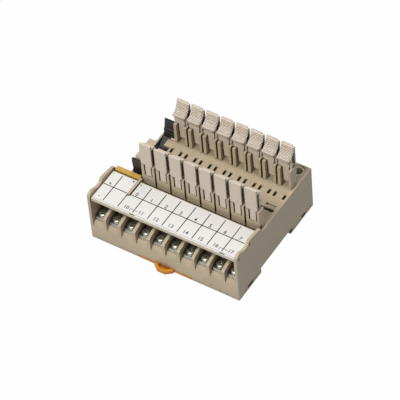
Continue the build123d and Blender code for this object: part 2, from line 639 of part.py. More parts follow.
def rear_lever(k):
    """Release lever: stem between the posts, thin arm above them and a curved ribbed thumb pad."""
    x = unit_left(k) - 0.2
    x1 = x + PAD_W
    y = REAR_Y0
    low = CAGE_TOP + 1.0
    foot = PAD_TOP - PAD_RISE
    guides = ((y + 0.3, foot), (y + 5.9, foot + 0.4), (y + 6.4, PAD_TOP))
    ribbed = []
    for i, (py, pz) in enumerate(curve(*guides, RIBS)):
        lift = 0.22 if i % 2 else 0.0
        ribbed.append((py - lift * 0.6, pz + lift * 0.8))
    back = curve(*guides, 4, back=1.2)[::-1]
    pad = prism(ribbed + back, x, x1)
    arm = block(x, x1, y + 2.0, y + 3.1, low, foot + 0.1) + block(x, x1, y + 2.0, y + 4.6, low, low + 1.0)
    middle = (x + x1) / 2
    gusset = prism([
        (y + 3.0, low + 0.5), (y + 4.6, low + 0.5), (y + 5.4, foot - 2.4), (y + 7.0, foot + 2.9),
        (y + 6.2, foot + 3.4), (y + 3.0, foot + 0.2),
    ], middle - 0.7, middle + 0.7)
    stem = footed([(REAR_PIVOT[0] + 1.3, low + 0.5), (y + 2.0, low + 0.5)], REAR_PIVOT, 1.4, *stem_span(k))
    left_x = unit_left(k) + POST_LEFT
    return pad + arm + gusset + stem + pin(REAR_PIVOT, left_x - PIN_DEPTH, left_x + CAGE_ROOM + PIN_DEPTH)


def lock_lever(side):
    """Black lock lever of the connector; side is -1 for the front one and 1 for the rear one."""
    y = CONNECTOR_Y + side * LOCK_REACH
    z = LOCK_Z
    stem = [(7.3, 2.9), (8.3, 6.0), (8.3, 9.0), (6.0, 9.0), (5.5, 6.3), (-1.3, 1.0)]
    head = [(5.6, 7.0), (8.3, 7.0), (9.3, 17.6), (8.8, 18.9), (7.9, 18.9), (6.9, 12.9), (6.0, 12.5), (5.9, 10.6),
            (6.7, 10.1), (5.9, 9.7), (5.8, 7.9)]
    turned = [(y + side * a, z + b) for a, b in stem][::side]
    body = footed(turned, (y, z), 1.5, GUIDE_X1 + 0.4, BLOCK_X0 - 0.4)
    body = body + prism([(y + side * a, z + b) for a, b in head], GUIDE_X1 + 0.8, BAY_RIGHT - 1.2)
    return body + pin((y, z), GUIDE_X1 - 0.6, BLOCK_X0 + 0.6)


def pin_places():
    """Five by two pins of the connector."""
    middle = HEADER_X0 + HEADER_W / 2 + 0.1
    rows = (middle - PIN_STEP / 2, middle + PIN_STEP / 2)
    return [(x, CONNECTOR_Y + PIN_STEP * (n - 2)) for x in rows for n in range(5)]


def connector_header():
    """Box header that stands on the small board."""
    x0 = HEADER_X0
    x1 = HEADER_X0 + HEADER_W
    y0 = CONNECTOR_Y - HEADER_L / 2
    y1 = CONNECTOR_Y + HEADER_L / 2
    w = HEADER_WALL
    body = block(x0, x1, y0, y1, LOW_BOARD_Z + BOARD_T, HEADER_TOP)
    body = body - block(x0 + w, x1 - w, y0 + w, y1 - w, SEAT_TOP, HEADER_TOP + 1)
    body = body - block(x1 - w - 0.5, x1 + 0.4, CONNECTOR_Y - 2.3, CONNECTOR_Y + 2.3, SEAT_TOP + 1.5, HEADER_TOP + 1)
    rows = sorted({x for x, y in pin_places()})
    reach = 2 * PIN_STEP + PIN_HALF
    slots = [
        block(x - PIN_HALF, x + PIN_HALF, CONNECTOR_Y - reach, CONNECTOR_Y + reach, LOW_BOARD_Z, SEAT_TOP + 1)
        for x in rows
    ]
    return body - slots


def header_pins():
    """Square pins, soldered on the small board."""
    low = LOW_BOARD_Z + BOARD_T
    top = HEADER_TOP - 3.4
    return [block(x - PIN_HALF, x + PIN_HALF, y - PIN_HALF, y + PIN_HALF, low, top) for x, y in pin_places()]


def connector_board():
    """Small board under the connector."""
    y = CONNECTOR_Y
    return block(SEAT_X0 + 2.0, BAY_RIGHT - 0.3, y - 14.6, y + 14.6, LOW_BOARD_Z, LOW_BOARD_Z + BOARD_T)


def circuit_board():
    """Board under the relay deck."""
    body = block(BAY_RIGHT + BAY_WALL + 0.15, WIDTH - WALL - 0.4, BAY_FRONT + 0.2, DEPTH - WALL - 0.4, BOARD_Z, BOARD_TOP)
    return body - post(*RIGHT_HOLE, SCREW_R, BOARD_Z - 1, BOARD_TOP + 1)


def fork(x, y, half):
    """Two leaves on a foot; half is half the length of the leaves along Y."""
    z = BOARD_TOP
    body = block(x - 0.55, x + 0.55, y - half, y + half, z, z + 0.4)
    for side in (-1, 1):
        leaf = x + side * 0.4
        body = body + block(leaf - 0.15, leaf + 0.15, y - half, y + half, z, z + CONTACT_ROOM - 0.3)
    return body


def load_contacts():
    """Sixteen fork contacts below the pairs of deck slots."""
    return [fork(relay_mid(k) + dx, REAR_Y0 - 6.7, 1.4) for k in range(POSITIONS) for dx in (-2.45, 3.8)]


def coil_contacts():
    """Sixteen fork contacts below the cross slots."""
    return [fork(relay_mid(k) + dx, FRONT_Y1 + 10.85, 0.9) for k in range(POSITIONS) for dx in (-2.45, 1.9)]


def surge_diodes():
    """Eight flat diodes on the board."""
    y = FRONT_Y1 + 4.5
    return [block(x - 1.9, x + 1.9, y - 1.0, y + 1.0, BOARD_TOP, BOARD_TOP + 1.6) for x in map(relay_mid, range(POSITIONS))]


def main():
    save("housing", housing())
    save("base_plate", base_plate())
    save("rail_latch", rail_latch())
    save("terminal_cover", terminal_cover())
    save("label_sheet", label_sheet())
    save("marker_strip", marker_strip())
    low = LOWER_SCREW_Y
    high = UPPER_SCREW_Y
    save("lower_terminal_plates",
         Compound(terminal_plates(low - LOWER_PLATE, LOWER_DEPTH - 0.2, low, LOWER_FLOOR, lower_tail)))
    save("upper_terminal_plates",
         Compound(terminal_plates(high - UPPER_PLATE, high + UPPER_PLATE, high, UPPER_FLOOR, upper_tail)))
    save("lower_clamp_washers", Compound(clamp_washers(low, LOWER_FLOOR + PLATE_T)))
    save("upper_clamp_washers", Compound(clamp_washers(high, UPPER_FLOOR + PLATE_T)))
    save("lower_screws", Compound(screws(low, LOWER_FLOOR)))
    save("upper_screws", Compound(screws(high, UPPER_FLOOR)))
    for k in range(POSITIONS):
        save("front_lever_" + str(k + 1), front_lever(k))
        save("rear_lever_" + str(k + 1), rear_lever(k))
    save("lock_lever_front", lock_lever(-1))
    save("lock_lever_rear", lock_lever(1))
    save("connector_header", connector_header())
    save("header_pins", Compound(header_pins()))
    save("connector_board", connector_board())
    save("circuit_board", circuit_board())
    save("load_contacts", Compound(load_contacts()))
    save("coil_contacts", Compound(coil_contacts()))
    save("surge_diodes", Compound(surge_diodes()))


main()
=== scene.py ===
# %% [markdown]
# The real object is a socket base for eight plug-in relays, clipped on a 35 mm rail.
# The measured model of it is loaded first and stays as it is. Everything made here is
# laid over that model, in metres and in the same place, so nothing has to be fitted later.

# %% Load the measured model
import bpy
import bmesh
import json
import math
from mathutils import Matrix, Vector


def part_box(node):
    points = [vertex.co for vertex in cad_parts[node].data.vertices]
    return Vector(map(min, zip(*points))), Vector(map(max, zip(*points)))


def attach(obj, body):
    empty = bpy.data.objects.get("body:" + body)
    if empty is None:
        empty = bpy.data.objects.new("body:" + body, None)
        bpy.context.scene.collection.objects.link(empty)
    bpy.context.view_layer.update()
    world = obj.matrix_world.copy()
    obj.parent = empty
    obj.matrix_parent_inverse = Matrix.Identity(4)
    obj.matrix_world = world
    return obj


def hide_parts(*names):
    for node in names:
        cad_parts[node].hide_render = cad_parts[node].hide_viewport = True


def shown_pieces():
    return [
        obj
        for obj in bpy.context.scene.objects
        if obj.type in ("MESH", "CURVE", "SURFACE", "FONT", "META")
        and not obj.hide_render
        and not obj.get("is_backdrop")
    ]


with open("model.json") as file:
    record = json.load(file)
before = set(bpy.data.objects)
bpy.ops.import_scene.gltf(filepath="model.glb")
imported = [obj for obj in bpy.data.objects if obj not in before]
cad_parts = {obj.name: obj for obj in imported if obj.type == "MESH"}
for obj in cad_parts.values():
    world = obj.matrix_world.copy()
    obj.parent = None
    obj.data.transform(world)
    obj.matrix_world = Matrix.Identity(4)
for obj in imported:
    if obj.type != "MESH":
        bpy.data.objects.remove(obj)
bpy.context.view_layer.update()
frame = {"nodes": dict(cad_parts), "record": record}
MM = 0.001
POSITIONS = 8                               # relays side by side
print("pieces in the measured model:", len(frame["nodes"]))

# %% [markdown]
# A photograph is copied by standing where it was taken from. The view is from the front
# right and well above, with a long lens, so far levers look hardly smaller than near ones.
# Three turns, a distance and a focal length are easier to adjust than a camera matrix, so
# the camera is worked out from them.

# %% Camera
ORIGIN = Vector((51.0, 42.2, 0.0))          # the model's origin, from its front left bottom corner
AIM_SPOT = Vector((45.06, 49.18, 7.97))     # what the camera points at, from the same corner
AIM = (AIM_SPOT - ORIGIN) * MM
AZIMUTH = math.radians(36.0)
ELEVATION = math.radians(48.37)
ROLL = math.radians(-5.48)
DISTANCE = 1584.9 * MM
FOCAL_PIXELS = 2675.0                       # focal length in pixels of the photograph
PHOTO_WIDTH = 400.0
SENSOR = 36.0
VIEW_END = 10.0

back = Vector((math.sin(AZIMUTH) * math.cos(ELEVATION), -math.cos(AZIMUTH) * math.cos(ELEVATION),
               math.sin(ELEVATION)))
level_right = Vector((math.cos(AZIMUTH), math.sin(AZIMUTH), 0.0))
level_up = back.cross(level_right)
right = math.cos(ROLL) * level_right + math.sin(ROLL) * level_up
up = -math.sin(ROLL) * level_right + math.cos(ROLL) * level_up

camera_data = bpy.data.cameras.new("camera")
camera_data.lens = FOCAL_PIXELS / PHOTO_WIDTH * SENSOR
camera_data.sensor_width = SENSOR
camera_data.clip_end = VIEW_END
camera = bpy.data.objects.new("camera", camera_data)
turn = Matrix((right, up, back)).transposed().to_4x4()
camera.matrix_world = Matrix.Translation(AIM + back * DISTANCE) @ turn
bpy.context.collection.objects.link(camera)
bpy.context.scene.camera = camera
print("camera stands at", [round(v, 3) for v in camera.matrix_world.translation])

# %% [markdown]
# A finish is a graph of shader nodes, but much of what it does is plain arithmetic. Adding
# every node and link by hand would hide that. Two small classes let it be written as sums:
# a Value is one socket that can stand in a sum, and a Finish adds any other node in one
# line, with its settings first and then its sockets. The first one is for the paper.

# %% Shader sums in plain Python


class Value:
    """A node socket that can be used in sums like a number."""

    def __init__(self, finish, socket):
        self.finish = finish
        self.socket = socket

    def __add__(self, other):
        return self.finish.math("ADD", self, other)

    def __sub__(self, other):
        return self.finish.math("SUBTRACT", self, other)

    def __rsub__(self, other):
        return self.finish.math("SUBTRACT", other, self)

    def __mul__(self, other):
        return self.finish.math("MULTIPLY", self, other)

    __radd__ = __add__
    __rmul__ = __mul__


class Finish:
    """The nodes of a material or a world, under construction."""

    def __init__(self, owner):
        owner.use_nodes = True
        self.owner = owner
        self.tree = owner.node_tree
        self.tree.nodes.clear()

    def node(self, kind, settings=None, out=0, **sockets):
        """Adds a node. Sockets go by name, with _ for a space, or by number as in0, in1."""
        node = self.tree.nodes.new(kind)
        for key, value in (settings or {}).items():
            setattr(node, key, value)
        for key, value in sockets.items():
            numbered = key.startswith("in") and key[2:].isdigit()
            socket = node.inputs[int(key[2:]) if numbered else key.replace("_", " ")]
            if isinstance(value, Value):
                self.tree.links.new(value.socket, socket)
            else:
                socket.default_value = value
        return Value(self, node.outputs[out]) if node.outputs else None

    def math(self, operation, first, second):
        """One Math node on two numbers."""
        return self.node("ShaderNodeMath", dict(operation=operation), in0=first, in1=second)

    def mix(self, share, plain, other):
        """A colour that goes from plain to other as share goes from 0 to 1."""
        return self.node("ShaderNodeMix", dict(data_type="RGBA"), out=2, in0=share, in6=plain, in7=other)


paper = Finish(bpy.data.materials.new("white_paper"))
print("started:", paper.owner.name, "with", len(paper.tree.nodes), "nodes")

# %% [markdown]
# The base stands on plain white paper. White paper that is only lit would come out grey,
# and more light would bleach the card. So what looks at the paper, or meets it in metal,
# sees almost only a plain white glow, and the small rest of it takes the shadow.

# %% White paper floor
GLOW_SHARE = 0.985
PAPER_TONE = (0.42, 0.42, 0.42, 1.0)
WHITE = (1.0, 1.0, 1.0, 1.0)
FLOOR_HALF = 3.0                            # half the floor's width, in metres

looking = paper.node("ShaderNodeLightPath", out="Is Camera Ray")
mirrored = paper.node("ShaderNodeLightPath", out="Is Glossy Ray")
passing = paper.node("ShaderNodeLightPath", out="Is Transmission Ray")
seen = paper.math("MINIMUM", looking + mirrored + passing, 1.0)
lit = paper.node("ShaderNodeBsdfDiffuse", Color=PAPER_TONE)
glow = paper.node("ShaderNodeEmission", Color=WHITE, Strength=1.0)
mixed = paper.node("ShaderNodeMixShader", in0=seen * GLOW_SHARE, in1=lit, in2=glow)
paper.node("ShaderNodeOutputMaterial", Surface=mixed)

bm = bmesh.new()
bmesh.ops.create_grid(bm, x_segments=1, y_segments=1, size=FLOOR_HALF)
floor_mesh = bpy.data.meshes.new("floor")
bm.to_mesh(floor_mesh)
bm.free()
floor = bpy.data.objects.new("floor", floor_mesh)
floor.data.materials.append(paper.owner)
bpy.context.collection.objects.link(floor)
floor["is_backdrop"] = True
print("floor:", 2 * FLOOR_HALF, "metres wide")

# %% [markdown]
# Two soft lamps and an even sky light the base. The key lamp stands in front and high up,
# so the tops are bright and the end wall is in half shade. A weak one behind opens up the
# far corner. A wrapped picture of a studio could do the same, but lamps are easier to move.
# They are set so that a colour comes out about as it is written.

# %% Sky and lamps
SKY_TINT = (0.97, 0.98, 1.0, 1.0)
SKY_STRENGTH = 0.19
LAMP_TARGET = Vector((0.0, 0.0, 0.02))      # middle of the base, in metres

scene = bpy.context.scene
scene.view_settings.view_transform = "Standard"
scene.world = bpy.data.worlds.new("studio")
sky = Finish(scene.world)
sky.node("ShaderNodeOutputWorld",
         Surface=sky.node("ShaderNodeBackground", Color=SKY_TINT, Strength=SKY_STRENGTH))


def lamp(name, spot, size, watts, tint):
    """A square soft lamp that points at the middle of the base."""
    data = bpy.data.lights.new(name, "AREA")
    data.shape = "SQUARE"
    data.size = size
    data.energy = watts
    data.color = tint
    holder = bpy.data.objects.new(name, data)
    aim = Vector(spot) - LAMP_TARGET
    holder.matrix_world = Matrix.Translation(spot) @ aim.to_track_quat("Z", "Y").to_matrix().to_4x4()
    bpy.context.collection.objects.link(holder)


lamp("key", spot=(-0.08, -0.68, 1.2), size=0.36, watts=14.4, tint=(1.0, 0.985, 0.965))
lamp("rear", spot=(0.04, 0.66, 1.28), size=0.6, watts=4.2, tint=(1.0, 0.99, 0.97))

# %% [markdown]
# Colours are judged on a screen, where a tone of 128 looks half bright, but a shader counts
# light, of which it is only a fifth. So every colour is written as it looks on the screen,
# and one function turns it into the light that the shader needs.

# %% Colours as read on a screen


def rgb(red, green, blue):
    """A screen colour, 0 to 255, as the linear values of a shader."""
    linear = []
    for value in (red, green, blue):
        v = value / 255.0
        linear.append(v / 12.92 if v <= 0.04045 else ((v + 0.055) / 1.055) ** 2.4)
    return (*linear, 1.0)


print("screen tone 128 is", round(rgb(128, 128, 128)[0], 3), "in a shader")

# %% [markdown]
# Moulded plastic is never one flat colour. It has a fine spark-eroded grain and a little
# cloudiness from the flow of the resin, and its gloss varies with both. Narrow gaps get
# painted shade: their colour is painted deeper and browner than open faces, as the light
# that reaches them has bounced off the same beige several times. One recipe with a few
# numbers serves all the plastics, because they differ only in colour, gloss, grain and how
# dark the shade painted into their gaps is.

# %% Plastic finishes, with painted shade in gaps
GRAIN_SCALE = 2600.0                        # grains about 0.4 mm apart
GRAIN_DEPTH = 0.06 * MM
CLOUD_SCALE = 60.0                          # clouds about 17 mm apart
CLOUD_SHARE = 0.7                           # of the colour's unevenness, the rest is grain
CLOUD_GLOSS = 0.16
GRAIN_GLOSS = 0.08
MEAN = 0.5                                  # what a noise is on average
OPEN_FROM = 0.7                             # so much open room leaves the plain colour
DEEP_FROM = 0.2                             # so little gives the full painted shade of a gap
PAINTED_SHADE_TINT = (1.0, 0.86, 0.6)                 # the painted shade loses blue first, as light bouncing in a gap does
PAINTED_SHADE_REACH = 4.5 * MM                        # how near a facing wall has to be for shade to be painted
DEEP_PAINTED_SHADE_REACH = 6.0 * MM                       # the same for the deeper painted shade of case and levers
PAINTED_SHADE_RAYS = 6                                # rays that look for that wall


def plastic(name, colour, rough=0.5, grain=0.25, cloud=0.05, painted_shade_tone=0.3, shine=0.5,
            reach=PAINTED_SHADE_REACH):
    """Moulded plastic with grain, clouding, a slightly uneven gloss and shade painted into its gaps."""
    finish = Finish(bpy.data.materials.new(name))
    at = finish.node("ShaderNodeTexCoord", out="Object")
    clouds = finish.node("ShaderNodeTexNoise", Vector=at, Scale=CLOUD_SCALE, Detail=3.0, Roughness=0.5)
    specks = finish.node("ShaderNodeTexNoise", Vector=at, Scale=GRAIN_SCALE, Detail=2.0, Roughness=0.6)
    dark = tuple(c * (1.0 - cloud) for c in colour[:3]) + (1.0,)
    pale = tuple(min(1.0, c * (1.0 + cloud)) for c in colour[:3]) + (1.0,)
    plain = finish.mix(clouds * CLOUD_SHARE + specks * (1.0 - CLOUD_SHARE), dark, pale)
    # Painted shade: the colour goes darker and browner where a wall stands near.
    painted_shade_openness = finish.node("ShaderNodeAmbientOcclusion", dict(samples=PAINTED_SHADE_RAYS), out="AO", Distance=reach)
    deep = tuple(c * painted_shade_tone * b for c, b in zip(colour[:3], PAINTED_SHADE_TINT)) + (1.0,)
    tone = finish.mix((OPEN_FROM - painted_shade_openness) * (1.0 / (OPEN_FROM - DEEP_FROM)), plain, deep)
    gloss = (clouds - MEAN) * CLOUD_GLOSS + (specks - MEAN) * GRAIN_GLOSS + rough
    bump = finish.node("ShaderNodeBump", Strength=grain, Distance=GRAIN_DEPTH, Height=specks)
    skin = finish.node("ShaderNodeBsdfPrincipled", Base_Color=tone, Roughness=gloss, Normal=bump,
                       Specular_IOR_Level=shine)
    finish.node("ShaderNodeOutputMaterial", Surface=skin)
    return finish.owner


# The last numbers of each plastic set how dark and how far reaching the shade painted into its gaps is.
case_plastic = plastic("case_plastic", rgb(197, 181, 154), painted_shade_tone=0.2, reach=DEEP_PAINTED_SHADE_REACH)
cover_plastic = plastic("cover_plastic", rgb(208, 198, 178), rough=0.48)
lever_plastic = plastic("lever_plastic", rgb(217, 204, 187), rough=0.44, painted_shade_tone=0.16, reach=DEEP_PAINTED_SHADE_REACH)
rib_plastic = plastic("rib_plastic", rgb(231, 221, 208), rough=0.44, painted_shade_tone=0.74)
# Painted light: the recess sleeve is paler than the case and hardly shaded.
sleeve_plastic = plastic("sleeve_plastic", rgb(214, 204, 176), painted_shade_tone=0.72)
amber_plastic = plastic("amber_plastic", rgb(206, 168, 82), rough=0.38)
latch_plastic = plastic("latch_plastic", rgb(222, 143, 38), rough=0.4)
black_plastic = plastic("black_plastic", rgb(40, 39, 42), rough=0.4, cloud=0.12)
diode_plastic = plastic("diode_plastic", rgb(30, 30, 30), rough=0.3)
print("plastics:", sum(m.name.endswith("_plastic") for m in bpy.data.materials))

# %% [markdown]
# The card and its ink are duller and smoother than the mouldings, but the same recipe
# makes them, painted shade included. Little shade is painted into their gaps, because paper
# passes a little light.

# %% Card and ink
card_white = plastic("card_white", rgb(234, 232, 230), rough=0.62, grain=0.1, cloud=0.012, painted_shade_tone=0.7)
ink_black = plastic("ink_black", rgb(30, 29, 29), rough=0.6, grain=0.05, cloud=0.02, painted_shade_tone=0.8)
print("card and ink:", card_white.name, ink_black.name)

# %% [markdown]
# The screws and washers are nickel plated steel, the plates under them tinned copper and
# the contacts brass. Rolled and turned metal shows fine drawn lines. They could be a wave,
# but a wave repeats, so a noise that is stretched along one way varies the gloss a little,
# and a broader one stains the colour.

# %% Metal finishes
LINE_SCALE = 900.0
STAIN_SCALE = 240.0
STAIN_TONE = 0.82                           # brightness where the metal is dullest
LINE_GLOSS = 0.16
STAIN_GLOSS = 0.1
LINE_DEPTH = 0.04 * MM
LINE_BUMP = 0.15                            # how strongly the lines tilt the light
STRETCH = 14.0                              # how much closer the lines lie across their run


def metal(name, colour, rough, across):
    """Plated metal with drawn lines and slight tarnish; across is the way they lie close."""
    finish = Finish(bpy.data.materials.new(name))
    at = finish.node("ShaderNodeTexCoord", out="Object")
    stretched = finish.node("ShaderNodeMapping", Vector=at,
                            Scale=[STRETCH if axis == across else 1.0 for axis in "XYZ"])
    lines = finish.node("ShaderNodeTexNoise", Vector=stretched, Scale=LINE_SCALE, Detail=3.0,
                        Roughness=0.6)
    stain = finish.node("ShaderNodeTexNoise", Vector=at, Scale=STAIN_SCALE, Detail=2.0, Roughness=0.5)
    dull = tuple(c * STAIN_TONE for c in colour[:3]) + (1.0,)
    tone = finish.mix(stain, dull, colour)
    gloss = (lines - MEAN) * LINE_GLOSS + (stain - MEAN) * STAIN_GLOSS + rough
    bump = finish.node("ShaderNodeBump", Strength=LINE_BUMP, Distance=LINE_DEPTH, Height=lines)
    skin = finish.node("ShaderNodeBsdfPrincipled", Base_Color=tone, Metallic=1.0, Roughness=gloss,
                       Normal=bump)
    finish.node("ShaderNodeOutputMaterial", Surface=skin)
    return finish.owner


plated_steel = metal("plated_steel", rgb(190, 189, 179), rough=0.38, across="Y")
tinned_copper = metal("tinned_copper", rgb(198, 196, 190), rough=0.36, across="X")
spring_brass = metal("spring_brass", rgb(214, 186, 120), rough=0.32, across="Z")
print("metals:", plated_steel.name, tinned_copper.name, spring_brass.name)

# %% [markdown]
# The two circuit boards are coated with green resist. The copper tracks stand up a little
# under it and look paler, so a wave cut off at one height gives both the bands and the bump.

# %% Circuit board finish
TRACK_SCALE = 130.0
TRACK_EDGE = 0.62                           # the wave is a track above this height
TRACK_DEPTH = 0.05 * MM
TRACK_BUMP = 0.4
TRACK_BEND = 1.2                            # how far the bands wander
TRACK_GLOSS = 0.06
RESIST_GLOSS = 0.3
RESIST = rgb(92, 150, 104)
RESIST_ON_TRACK = rgb(122, 178, 130)

green = Finish(bpy.data.materials.new("green_board"))
at = green.node("ShaderNodeTexCoord", out="Object")
bands = green.node("ShaderNodeTexWave", dict(wave_type="BANDS", bands_direction="X", wave_profile="SIN"),
                   out="Fac", Vector=at, Scale=TRACK_SCALE, Distortion=TRACK_BEND, Detail=1.0)
track = green.math("GREATER_THAN", bands, TRACK_EDGE)
bump = green.node("ShaderNodeBump", Strength=TRACK_BUMP, Distance=TRACK_DEPTH, Height=track)
skin = green.node("ShaderNodeBsdfPrincipled", Base_Color=green.mix(track, RESIST, RESIST_ON_TRACK),
                  Roughness=track * TRACK_GLOSS + RESIST_GLOSS, Normal=bump)
green.node("ShaderNodeOutputMaterial", Surface=skin)
green_board = green.owner
print("board:", green_board.name)

# %% [markdown]
# The measured pieces that already have the right shape keep it and only get a finish.
# Their edges are too sharp for moulded plastic, which has a small radius everywhere. The
# radius could be cut into the meshes, but a weld and a narrow bevel laid over them as
# modifiers leave the meshes alone and can be changed at any time.

# %% Finishes and soft edges on the measured pieces
FINISH_OF = {
    "case": case_plastic, "cover": cover_plastic, "label": card_white, "lever": lever_plastic,
    "amber": amber_plastic, "latch": latch_plastic, "black": black_plastic, "diode": diode_plastic,
    "steel": plated_steel, "tin": tinned_copper, "contact": spring_brass, "board": green_board,
}
SOFT_EDGE = {"housing": 0.16, "base_plate": 0.15, "terminal_cover": 0.15, "rail_latch": 0.2,
             "lock_lever_front": 0.2, "lock_lever_rear": 0.2, "connector_header": 0.12,
             "marker_strip": 0.2, "lower_clamp_washers": 0.1, "upper_clamp_washers": 0.1}
LEVER_EDGE = 0.16
EDGE_ANGLE = math.radians(35.0)             # a sharper fold than this counts as an edge
FACE_WEIGHT = 100                           # the large faces alone set the shading
WELD = 0.002 * MM                           # points nearer than this are one


def soften(piece, radius):
    """Rounds the sharp edges of a piece by radius millimetres without touching its mesh."""
    weld = piece.modifiers.new("weld", "WELD")
    weld.merge_threshold = WELD
    bevel = piece.modifiers.new("soft_edges", "BEVEL")
    bevel.width = radius * MM
    bevel.segments = 2
    bevel.limit_method = "ANGLE"
    bevel.angle_limit = EDGE_ANGLE
    bevel.use_clamp_overlap = True
    even = piece.modifiers.new("even_shading", "WEIGHTED_NORMAL")
    even.weight = FACE_WEIGHT
    even.keep_sharp = False


for part in frame["record"]["subparts"]:
    node = frame["nodes"][part["node"]]
    for slot in node.material_slots:
        slot.material = FINISH_OF[part["material_slot"]]
    if part["node"] in SOFT_EDGE:
        soften(node, SOFT_EDGE[part["node"]])
    elif part["material_slot"] == "lever":
        soften(node, LEVER_EDGE)

# %% [markdown]
# Much of what is added to the base is made of small boxes: lines of ink, ribs, ridges and
# walls. Their places are read off in millimetres from the front left bottom corner, because
# that is easy to measure, and one function turns them into the model's metres. Another
# makes a finished piece of a bmesh and says which body it rides on.

# %% Places, boxes and pieces


def place(x, y, z=0.0):
    """A place given in millimetres from the front left bottom corner."""
    return (Vector((x, y, z)) - ORIGIN) * MM


def block(bm, size):
    """Adds a box round the origin, its size in metres, and returns its corners."""
    corners = bmesh.ops.create_cube(bm, size=1.0)["verts"]
    bmesh.ops.scale(bm, vec=size, verts=corners)
    return corners


def strip(bm, x0, x1, y0, y1, z0, z1):
    """Adds a box between two corners, in millimetres."""
    low = place(x0, y0, z0)
    high = place(x1, y1, z1)
    bmesh.ops.translate(bm, vec=(high + low) / 2, verts=block(bm, high - low))


def keep(bm, name, finish, body):
    """Turns a bmesh into a piece at the origin that rides on a body."""
    data = bpy.data.meshes.new(name)
    bm.to_mesh(data)
    bm.free()
    data.materials.append(finish)
    piece = bpy.data.objects.new(name, data)
    bpy.context.collection.objects.link(piece)
    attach(piece, body)
    return piece


print("the front left bottom corner is at", [round(v, 4) for v in place(0.0, 0.0)])

# %% [markdown]
# The card on the cover is ruled into ten columns and two rows. Ink has almost no thickness,
# but a line made as a very thin strip stays sharp from near and far, where a painted
# pattern would blur. The strips lie on the card. The amber strip's arm reaches into a slot
# in the card, so the middle line and the second ruling stop short of it.

# %% Rulings on the card, and painted shade at its slot ends
CARD_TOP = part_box("label_sheet")[1].z / MM
INK = 0.02                                  # thickness of the ink
RULES = 9
FIRST_RULE = 9.4
RULE_STEP = 10.13
RULE_W = 0.58
RULE_FRONT = 2.9
RULE_REAR = 24.0
SHORT_RULE = 1
SHORT_REAR = 12.4
MIDDLE_LINE = 14.1
MIDDLE_SPANS = ((2.6, 18.9), (21.8, 98.9))
FRONT_LINE = (2.6, 99.4, 1.95, 2.1)         # left, right, front and rear side
JUMPERS = (26.9, 87.9)                      # a jumper sign joins two fields at each end
JUMPER_DASHES = ((0.0, 2.2), (3.2, 5.2))
JUMPER_Y = (4.75, 5.05)
JUMPER_FOOT = 3.4
JUMPER_W = 0.3
# Painted shade: dark ink strips where three slots end in the card, two at the front edge and one at the
# amber arm.
SLOT_SHADE_STRIPS = ((28.5, 31.8, 1.25, 1.8), (89.7, 93.0, 1.25, 1.8), (19.0, 20.9, 12.5, 13.1))


def ink(bm, x0, x1, y0, y1):
    """Adds a field of ink on the card, in millimetres."""
    strip(bm, x0, x1, y0, y1, CARD_TOP, CARD_TOP + INK)


bm = bmesh.new()
for i in range(RULES):
    x = FIRST_RULE + RULE_STEP * i
    ink(bm, x - RULE_W / 2, x + RULE_W / 2, RULE_FRONT, SHORT_REAR if i == SHORT_RULE else RULE_REAR)
for x0, x1 in MIDDLE_SPANS:
    ink(bm, x0, x1, MIDDLE_LINE - RULE_W / 2, MIDDLE_LINE + RULE_W / 2)
ink(bm, *FRONT_LINE)
for x in JUMPERS:
    for start, end in JUMPER_DASHES:
        ink(bm, x + start, x + end, *JUMPER_Y)
    ink(bm, x, x + JUMPER_W, JUMPER_FOOT, JUMPER_Y[1])
# The slot ends get painted shade in the same ink as the rulings.
for slot_shade in SLOT_SHADE_STRIPS:
    ink(bm, *slot_shade)
rulings = keep(bm, "card_rulings_and_slot_shade", ink_black, "cover")
print("rulings:", len(rulings.data.polygons), "faces")

# %% [markdown]
# Three small holes are punched along the rear edge of the card. They could be cut, but they
# are too small to see into, so each is a dark disc of painted shade, as thin as the ink.

# %% Holes in the card, as discs of painted shade
CARD_HOLES = ((17.4, 23.4, 0.6), (3.5, 23.5, 0.35), (22.8, 23.2, 0.45))     # x, y and radius


def disc(bm, radius, depth, sides):
    """Adds an upright disc or rod round the origin, in millimetres, and returns its points."""
    return bmesh.ops.create_cone(bm, cap_ends=True, segments=sides, radius1=radius * MM,
                                 radius2=radius * MM, depth=depth * MM)["verts"]


bm = bmesh.new()
for x, y, radius in CARD_HOLES:
    bmesh.ops.translate(bm, vec=place(x, y, CARD_TOP + INK / 2), verts=disc(bm, radius, INK, sides=16))
holes = keep(bm, "card_holes", ink_black, "cover")
print("card holes:", len(holes.data.polygons), "faces")

# %% [markdown]
# Each field of the card carries a plain number. A text object gives the outlines of the
# digits, and it is made a mesh before it is put in its place, so that the piece itself
# stays at the origin.

# %% Numbers on the card
DIGIT = 2.7                                 # height of a digit
SIZE_PER_HEIGHT = 1.35                      # the font's size over the height of its digits
INK_SPREAD = 0.04
CURVE_STEPS = 4
UPPER_FIRST = (24.5, 16.0)                  # middle of the first number of the upper row
UPPER_STEP = 10.05
LOWER_FIRST = (24.2, 5.0)
LOWER_START = 10                            # the lower row counts on from here
PLUS = (5.9, 15.7)
MINUS = (5.4, 4.9)


def settled_mesh(piece):
    """The mesh of an object as it looks once its text or its modifiers are worked out."""
    bpy.context.view_layer.update()
    return bpy.data.meshes.new_from_object(piece.evaluated_get(bpy.context.evaluated_depsgraph_get()))


